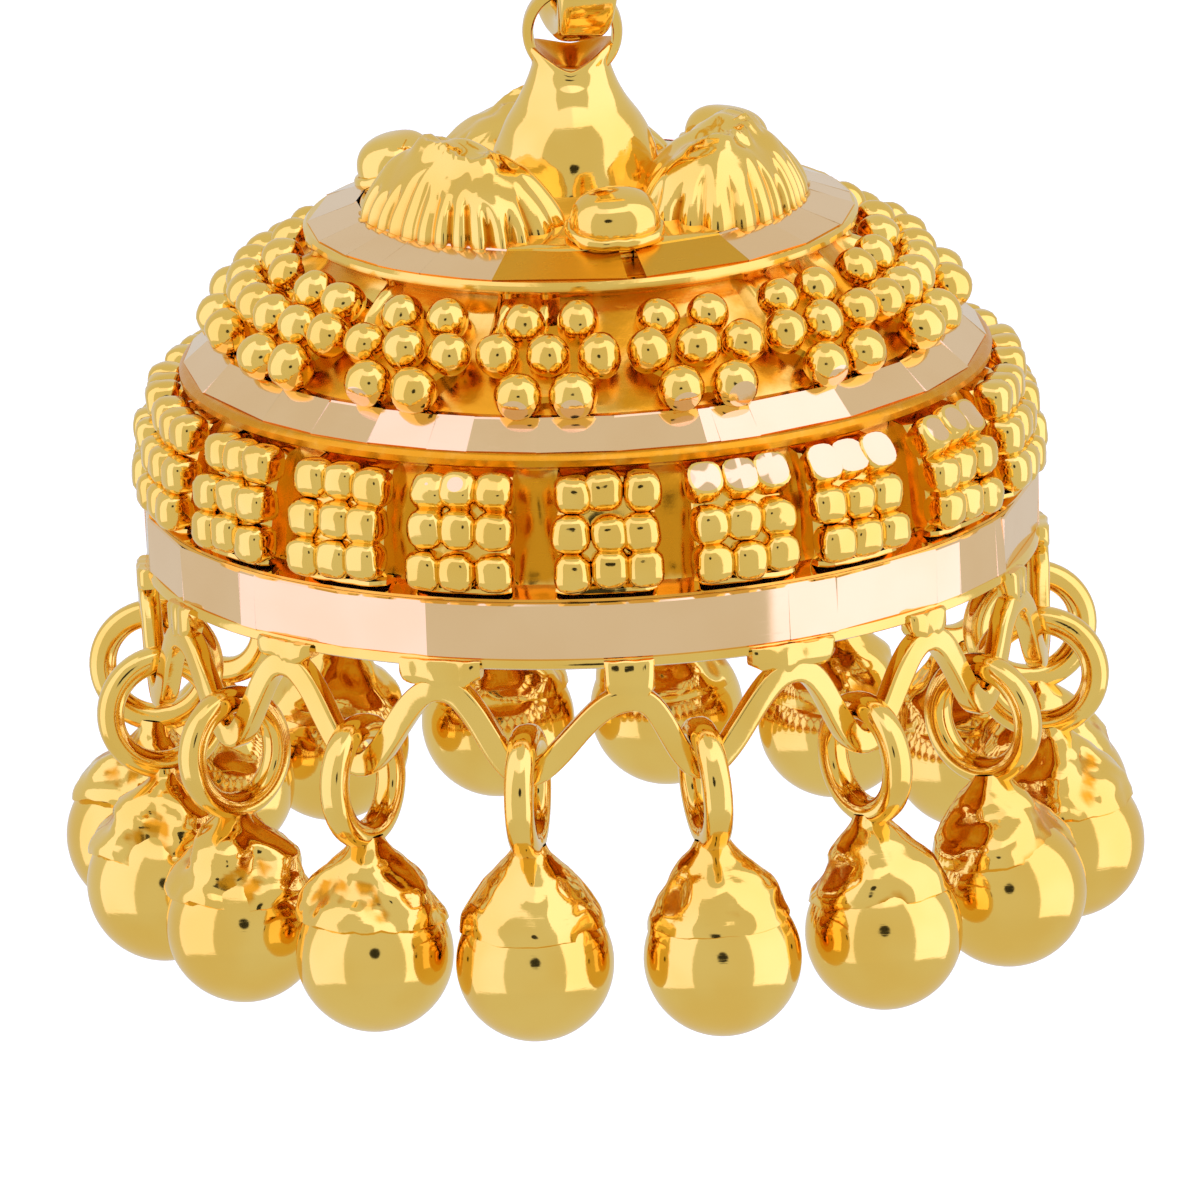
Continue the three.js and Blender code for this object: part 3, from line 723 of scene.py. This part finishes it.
strip = []
section = pillow(STRIP_THICKNESS, STRIP_WIDTH, 24, 5)
for k in range(WAVE_COUNT * WAVE_STEPS):
    angle = k * 2 * math.pi / (WAVE_COUNT * WAVE_STEPS)
    slope = (wave_height(angle + 1e-4) - wave_height(angle - 1e-4)) / (2e-4 * WAVE_RADIUS)
    turn = angle + math.radians(WAVE_TURN + out_of_true(angle, CREST_TURNS))
    way = np.array([math.sin(turn), -math.cos(turn), 0])
    along = np.array([math.cos(turn), math.sin(turn), 0])
    rising = (UP - slope * along) / math.hypot(1, slope)
    swell = 1 + 0.09 * noise.noise(Vector((math.sin(turn) * 13, math.cos(turn) * 13, 0)))
    strip.append([way * (WAVE_RADIUS + s + 0.02 * noise.noise(Vector((k * 0.3, t * 3, 5)))) +
                  rising * t * swell + [0, 0, wave_height(angle)] for s, t in section])
piece("bell_wave_strip", [skin(strip, looped=True)] + [crest_tab(i) for i in range(WAVE_COUNT)],
      [GOLD], "drop", ["bell"], BELL_LIFT, sharp=50)


# Bead drops: sixteen hollow polished balls, each under a heavy lump of solder that holds
# a closed ring of thick wire. The ring hangs loose in a trough of the wave strip.
TROUGH = -2.79
RING_DROP, RING_RADIUS, RING_WIRE = 0.5, 1.32, 0.66
BALL_RADIUS, BALL_DROP = 1.92, 4.3
# Radius and height above the ball's middle, down the solder from the ring to its edge
CAP = [(0.4, 2.95), (0.52, 2.72), (0.76, 2.46), (1.1, 2.12), (1.38, 1.77), (1.58, 1.42),
       (1.69, 1.14), (1.745, 0.9)]
CAP_SIDES, CAP_TUCK = 64, 0.2
# Degrees outwards and to the side that each drop hangs out of plumb
SWAYS = [(5.3, 2.5), (6.5, 0.5), (7, 1), (7, -1), (5, -2), (3, -1), (4, 1), (6, 2), (2.5, 0),
         (5, 1), (4, -1), (5.8, 3.5), (2, 2.5), (0.5, 2.5), (1.5, 3), (0.2, 0.4)]
# How lumpy each cap is; those not named take the usual share
ROUGH_CAPS = {10: 1.5, 11: 1.9, 12: 2.1, 13: 2.0, 14: 1.8, 15: 1.0, 0: 1.0, 1: 1.2, 2: 1.5, 3: 1.6}
USUAL_ROUGH = 1.2


def solder_cap(i, rough, heap):
    """Rows down one lump of solder, with pits, a ragged edge on the ball and a heap to
    one side; the last row is tucked into the ball"""
    line = curve(CAP, 4)
    last = len(line) - 1
    rows, shade_and_wear_marks = [], []
    for near, (cap_radius, cap_height) in enumerate([*line, line[last]]):
        share = min(1, near / last)
        tuck = CAP_TUCK if near > last else 0
        row = []
        for k in range(CAP_SIDES):
            way = k * 2 * math.pi / CAP_SIDES
            # the ragged lower edge
            spot = Vector((math.sin(way), math.cos(way), i * 7.3))
            ragged = 0.16 * noise.noise(spot * 1.3) + 0.05 * noise.noise(spot * 5)
            edge = rough * ragged * share ** 3
            # lumps and the pits between them
            spot = Vector((cap_radius * math.sin(way), cap_radius * math.cos(way),
                           cap_height + i * 3.1))
            lump, fine = noise.noise(spot * 0.95), noise.noise(spot * 3.3)
            swell = (0.2 * lump + 0.035 * fine) * rough * math.sin(math.pi * (0.1 + 0.75 * share))
            pit = clamp((-lump * rough - 0.22) * 4)
            thick = 0.07 * (rough - 1) * share ** 2
            radius = max(0.05, cap_radius + swell + thick - 0.06 * pit - tuck)
            row.append((radius * math.sin(way) + heap * (1 - share) * share,
                        -radius * math.cos(way), cap_height - BALL_DROP - edge))
            # painted shade and wear in the pits and along the edge tucked into the ball
            shade_and_wear_marks.append(min(1, pit * (0.6 + fine) + 0.3 * (near >= last)))
        rows.append(row)
    return rows, shade_and_wear_marks


ways = spokes(BACK, UP, 60)
ring = tube(ways * RING_RADIUS, ways, RIGHT, pillow(RING_WIRE, 1.075 * RING_WIRE, 20, 2.4))
arc = np.linspace(0, np.pi, 41)
ball = turned(list(zip(BALL_RADIUS * np.sin(arc), BALL_RADIUS * np.cos(arc) - BALL_DROP)), 64)
for i, (out_sway, aside_sway) in enumerate(SWAYS):
    dice = random.Random(100 + i)
    oval_ring = ring * [1, dice.uniform(0.95, 1.03), 1]
    cap, shade_and_wear_marks = solder_cap(i, ROUGH_CAPS.get(i, USUAL_ROUGH), dice.uniform(-1, 1) * 0.1)
    hung = np.array(Matrix.Rotation(math.radians(WAVE_TURN + (i + 0.5) * WAVE_PITCH), 4, "Z")
                    @ Matrix.Translation((0, -WAVE_RADIUS, TROUGH))
                    @ Matrix.Rotation(math.radians(-aside_sway), 4, "Y")
                    @ Matrix.Rotation(math.radians(-out_sway), 4, "X")
                    @ Matrix.Translation((0, 0, -RING_DROP)))
    shells = []
    for rows, marks, looped in ((oval_ring, None, True), (ball, None, False), (cap, shade_and_wear_marks, False)):
        points, faces = skin(rows, looped=looped)
        shells.append((points @ hung[:3, :3].T + hung[:3, 3], faces, marks))
    number = "%02d" % (i + 1)
    piece("drop_polished_" + number, shells, [GOLD], "drop", ["bead_drop_" + number],
          BELL_LIFT, sharp=55)


# Studio: a pale floor well below the hanging earring, white light all round with two
# brighter side panels and a bright top, and the small dark spot that a lens leaves in
# polished metal. The camera looks on from the front, a little above.
FLOOR_HEIGHT, FLOOR_RADIUS = -0.13, 4
bpy.ops.mesh.primitive_circle_add(vertices=96, radius=FLOOR_RADIUS, fill_type="NGON",
                                  location=(0, 0, FLOOR_HEIGHT))
floor = bpy.context.object
floor.name = "studio_floor"
floor.visible_glossy = False
pale = bpy.data.materials.new("pale_floor")
pale.use_nodes = True
paint = pale.node_tree.nodes["Principled BSDF"]
paint.inputs["Base Color"].default_value = (0.9, 0.9, 0.9, 1)
paint.inputs["Roughness"].default_value = 0.9
paint.inputs["Emission Color"].default_value = (1, 1, 1, 1)
paint.inputs["Emission Strength"].default_value = 0.35
floor.data.materials.append(pale)

CAMERA_RISE = math.radians(15.5)
# Strengths of the light that the metal mirrors, and its edges in degrees round from the
# front (sides) and up from level (rises)
MIDDLE_LIGHT, LEFT_PANEL, RIGHT_PANEL, LOW_LIGHT = 0.68, 1.15, 1.38, 0.67
PANEL_SIDES, PANEL_RISES, TOP_RISE = (46, 110), (-30, 50), 72
PANEL_TINT = (1, 0.98, 1.4, 1)
LENS_SPOT, LENS_EDGE = math.radians(6.5), math.radians(9)
SOFT_EDGE = math.radians(1.5)

world = bpy.data.worlds.new("studio")
bpy.context.scene.world = world
world.use_nodes = True
tree = world.node_tree
tree.nodes.clear()
start = Value(tree)
way = start.node("ShaderNodeTexCoord", {}, {}, "Generated")
split = way.node("ShaderNodeSeparateXYZ", {}, {"Vector": way}).socket.node
x, y, z = (Value(tree, socket) for socket in split.outputs)
turn = x.maths("ABSOLUTE", x.maths("ARCTAN2", x, 0 - y))
rise = z.maths("ARCSINE", z)


def above(value, degrees):
    return value.step(math.radians(degrees) - SOFT_EDGE, math.radians(degrees) + SOFT_EDGE)


panels = above(turn, PANEL_SIDES[0]) * above(rise, PANEL_RISES[0]) * (1 - above(rise, PANEL_RISES[1]))
top = above(rise, PANEL_RISES[1]) * (1 - above(rise, TOP_RISE))
panels = (panels + top) * (1 - above(turn, PANEL_SIDES[1]))
lens = (z * math.sin(CAMERA_RISE) - y * math.cos(CAMERA_RISE)).step(
    math.cos(LENS_EDGE), math.cos(LENS_SPOT))
panel = LEFT_PANEL + (RIGHT_PANEL - LEFT_PANEL) * x.step(-0.05, 0.05)
light = MIDDLE_LIGHT + (panel - MIDDLE_LIGHT) * panels
light = light - (MIDDLE_LIGHT - LOW_LIGHT) * (1 - above(rise, PANEL_RISES[0]))
light = light * (1 - 0.95 * lens)
seen = start.node("ShaderNodeLightPath", {}, {}, "Is Camera Ray")
tint = start.node("ShaderNodeMix", {"data_type": "RGBA"}, {
    0: panels * (1 - seen), 6: (1, 1, 1, 1), 7: PANEL_TINT}, 2)
glow = start.node("ShaderNodeBackground", {}, {
    "Color": tint, "Strength": light * (1 - seen) + seen})
shown = tree.nodes.new("ShaderNodeOutputWorld")
tree.links.new(glow.socket, shown.inputs["Surface"])

CAMERA_ROLL = math.radians(2.1)
CAMERA_DISTANCE, CAMERA_LENS = 0.6, 733
AIM_RIGHT, AIM_DOWN = 0.000187, 0.001491       # metres from the bell's foot
eye = bpy.data.cameras.new("camera")
eye.sensor_width = 36
eye.lens = CAMERA_LENS
eye.clip_start, eye.clip_end = 0.05, 20
camera = bpy.data.objects.new("camera", eye)
bpy.context.scene.collection.objects.link(camera)
towards = Vector((0, -math.cos(CAMERA_RISE), math.sin(CAMERA_RISE)))
level, rising = Vector((1, 0, 0)), Vector((0, math.sin(CAMERA_RISE), math.cos(CAMERA_RISE)))
right = math.cos(CAMERA_ROLL) * level - math.sin(CAMERA_ROLL) * rising
up = math.sin(CAMERA_ROLL) * level + math.cos(CAMERA_ROLL) * rising
aim = Vector((0, HANG_PLANE / 1000, BELL_LIFT / 1000)) + right * AIM_RIGHT - up * AIM_DOWN
camera.matrix_world = Matrix.Translation(aim + towards * CAMERA_DISTANCE) @ Matrix((
    (right.x, up.x, towards.x, 0), (right.y, up.y, towards.y, 0),
    (right.z, up.z, towards.z, 0), (0, 0, 0, 1)))
bpy.context.scene.camera = camera
bpy.context.scene.view_settings.view_transform = "Standard"
